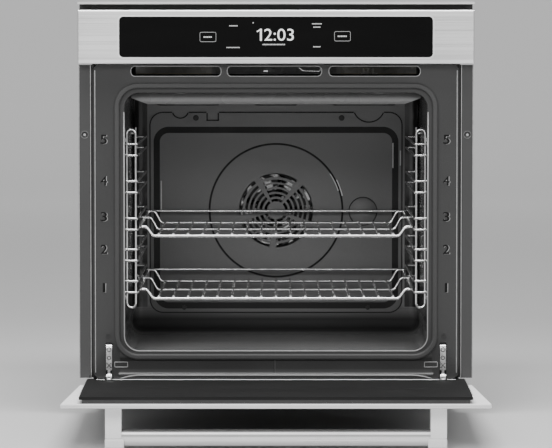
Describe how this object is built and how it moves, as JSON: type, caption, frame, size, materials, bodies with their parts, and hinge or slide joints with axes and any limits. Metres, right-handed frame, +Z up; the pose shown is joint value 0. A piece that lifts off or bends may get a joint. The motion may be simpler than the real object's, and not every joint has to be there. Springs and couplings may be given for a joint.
{
  "type": "wall oven",
  "caption": "Built-in electric wall oven with a drop-down door, touch control panel, fan-assisted enamelled cavity and two sliding wire racks.",
  "frame": {"origin": "centre of the chassis underside, which rests on the cabinet shelf", "axes": "+X right seen from the front, +Y to the rear, +Z up; the open door points along -Y"},
  "size_m": [0.595, 1.0189, 0.6234],
  "materials": {
    "galvanised_steel": "satin",
    "dark_enamel": "gloss",
    "stile_steel": "satin",
    "brushed_stainless": "brushed",
    "polished_collar": "polished",
    "control_black_glass": "polished",
    "door_black_glass": "polished",
    "lamp_glass": "polished",
    "gasket_rubber": "matte",
    "mineral_wool": "matte",
    "chromed_wire": "polished",
    "zinc_steel": "satin",
    "element_steel": "matte",
    "fan_aluminium": "satin",
    "black_plastic": "matte",
    "circuit_board": "satin"
  },
  "bodies": {
    "oven_body": {"air_duct": "galvanised_steel", "baffle_screws": "zinc_steel", "bake_element": "element_steel", "blower_housing": "galvanised_steel", "blower_motor": "fan_aluminium", "cavity_liner": "dark_enamel", "chassis_back": "galvanised_steel", "chassis_base": "galvanised_steel", "chassis_side_left": "galvanised_steel", "chassis_side_right": "galvanised_steel", "chassis_top": "galvanised_steel", "conduit_fitting": "zinc_steel", "control_board": "circuit_board", "control_fascia": "brushed_stainless", "control_glass": "control_black_glass", "convection_motor": "fan_aluminium", "display_module": "black_plastic", "door_gasket": "gasket_rubber", "fan_baffle": "dark_enamel", "frame_screws": "zinc_steel", "front_frame": "dark_enamel", "grill_element": "element_steel", "grill_shield": "dark_enamel", "hinge_arm_left": "zinc_steel", "hinge_arm_right": "zinc_steel", "hinge_receiver_left": "galvanised_steel", "hinge_receiver_right": "galvanised_steel", "insulation_wrap": "mineral_wool", "lamp_bulb": "lamp_glass", "lamp_housing": "galvanised_steel", "lamp_lens": "lamp_glass", "mounting_stile_left": "stile_steel", "mounting_stile_right": "stile_steel", "rack_support_left": "chromed_wire", "rack_support_right": "chromed_wire", "ring_element": "element_steel", "support_studs": "chromed_wire", "temperature_probe": "zinc_steel", "terminal_block": "black_plastic", "thermal_cutout": "zinc_steel", "top_trim": "brushed_stainless"},
    "door": {"door_inner_panel": "brushed_stainless", "door_skin": "brushed_stainless", "door_window": "door_black_glass", "glass_rails": "black_plastic", "handle_bar": "brushed_stainless", "handle_bracket_left": "brushed_stainless", "handle_bracket_right": "brushed_stainless", "handle_end_caps": "polished_collar", "handle_screws": "zinc_steel", "hinge_channel_left": "zinc_steel", "hinge_channel_right": "zinc_steel", "hinge_pins": "zinc_steel", "hinge_springs": "zinc_steel", "inner_glass": "door_black_glass"},
    "upper_rack": {"upper_rack": "chromed_wire"},
    "lower_rack": {"lower_rack": "chromed_wire"},
    "convection_fan": {"convection_fan": "fan_aluminium", "fan_nut": "zinc_steel"},
    "cooling_fan": {"cooling_impeller": "fan_aluminium"}
  },
  "joints": [
    {"name": "door_hinge", "type": "hinge", "parent": "oven_body", "child": "door", "pos_m": [0, -0.2769, 0.029], "axis": [-1, 0, 0], "range_deg": [0, 87.25]},
    {"name": "upper_rack_slide", "type": "slide", "parent": "oven_body", "child": "upper_rack", "axis": [0, 1, 0], "range_m": [-0.3, 0]},
    {"name": "lower_rack_slide", "type": "slide", "parent": "oven_body", "child": "lower_rack", "axis": [0, 1, 0], "range_m": [-0.3, 0]},
    {"name": "convection_fan_spin", "type": "hinge", "parent": "oven_body", "child": "convection_fan", "pos_m": [0, 0.18, 0.258], "axis": [0, 1, 0], "continuous": true},
    {"name": "cooling_fan_spin", "type": "hinge", "parent": "oven_body", "child": "cooling_fan", "pos_m": [0, 0.01, 0.532], "axis": [1, 0, 0], "continuous": true}
  ]
}
